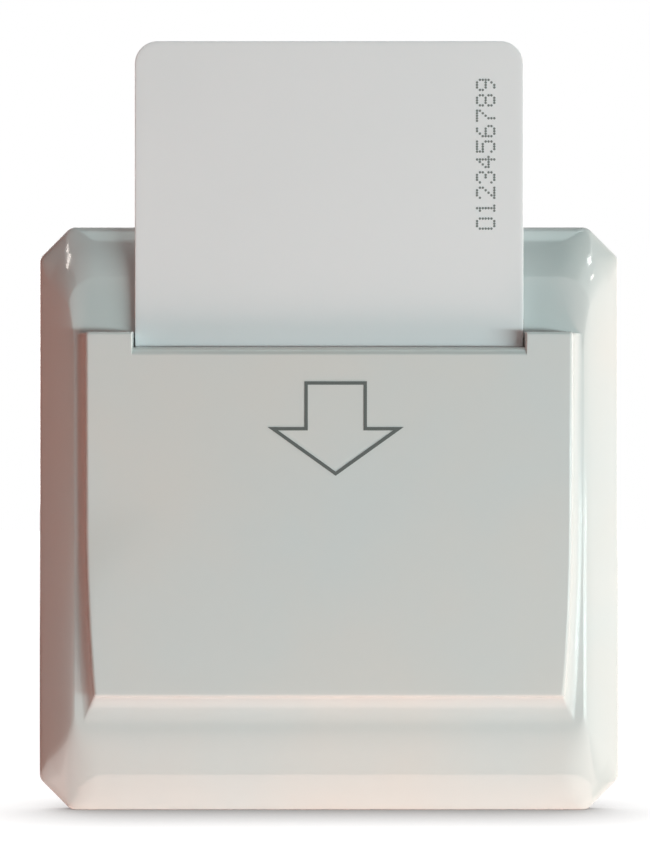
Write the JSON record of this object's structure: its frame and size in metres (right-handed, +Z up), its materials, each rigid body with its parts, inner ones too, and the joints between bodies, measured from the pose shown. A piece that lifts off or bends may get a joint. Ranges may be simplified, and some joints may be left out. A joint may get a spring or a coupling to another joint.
{
  "type": "hotel key card switch",
  "caption": "Wall-mounted key card switch: glossy pillow-shaped cover with a raised panel and a card slot, over a card guide, sensing lever, microswitch and relay board.",
  "frame": {"origin": "midway between the two fixing screws, on the wall's surface", "axes": "+X to the right seen from the room, +Z up the wall, +Y into the wall"},
  "size_m": [0.082, 0.0363, 0.1079],
  "materials": {
    "cover_abs": "glossy moulded ABS, warm white",
    "arrow_ink": "dark grey pad-printed ink",
    "card_pvc": "satin laminated PVC, light grey",
    "guide_abs": "fine-textured moulded ABS, white",
    "zinc_steel": "bright zinc-plated steel",
    "lever_acetal": "natural acetal, slightly waxy",
    "pin_steel": "ground steel pin",
    "spring_steel": "drawn spring wire",
    "switch_pbt": "black moulded PBT",
    "plunger_pbt": "red moulded PBT",
    "tinned_copper": "tinned copper",
    "base_abs": "fine-textured moulded ABS, white",
    "housing_polycarbonate": "fine-textured moulded polycarbonate, off-white",
    "board_laminate": "green solder mask on glass-fibre laminate",
    "relay_pbt": "blue moulded PBT",
    "capacitor_box": "yellow moulded box",
    "capacitor_sleeve": "dark blue shrink sleeve",
    "black_epoxy": "black moulded epoxy",
    "resistor_coating": "beige cement coating",
    "terminal_polyamide": "dark green moulded polyamide",
    "clamp_brass": "plain brass"
  },
  "bodies": {
    "base": {"front_cover": "cover_abs", "arrow_print": "arrow_ink", "card_guide": "guide_abs", "guide_screws": "zinc_steel", "lever_pin": "pin_steel", "lever_spring": "spring_steel", "switch_case": "switch_pbt", "switch_pins": "tinned_copper", "base_plate": "base_abs", "fixing_screws": "zinc_steel", "rear_housing": "housing_polycarbonate", "housing_screws": "zinc_steel", "circuit_board": "board_laminate", "board_screws": "zinc_steel", "relay_case": "relay_pbt", "relay_pins": "tinned_copper", "film_capacitor": "capacitor_box", "smoothing_capacitor": "capacitor_sleeve", "rectifier_diodes": "black_epoxy", "dropper_resistor": "resistor_coating", "timer_chip": "black_epoxy", "timer_chip_pins": "tinned_copper", "relay_transistor": "black_epoxy", "supply_terminals": "terminal_polyamide", "load_terminals": "terminal_polyamide", "terminal_cages": "clamp_brass", "terminal_screws": "zinc_steel", "terminal_pins": "tinned_copper"},
    "card": {"key_card": "card_pvc"},
    "lever": {"lever": "lever_acetal"},
    "plunger": {"switch_plunger": "plunger_pbt"}
  },
  "joints": [
    {"name": "card_slide", "type": "slide", "parent": "base", "child": "card", "axis": [0, 0, 1], "range_m": [0, 0.062]},
    {"name": "lever_tilt", "type": "hinge", "parent": "base", "child": "lever", "pos_m": [0, -0.003, 0.002], "axis": [-1, 0, 0], "range_deg": [0, 4.1]},
    {"name": "plunger_slide", "type": "slide", "parent": "base", "child": "plunger", "axis": [0, -1, 0], "range_m": [0, 0.00085]}
  ],
  "couplings": [
    {"joint": "lever_tilt", "follows": "card_slide", "rad_per_m": 1.1385},
    {"joint": "plunger_slide", "follows": "card_slide", "ratio": 0.013435}
  ]
}
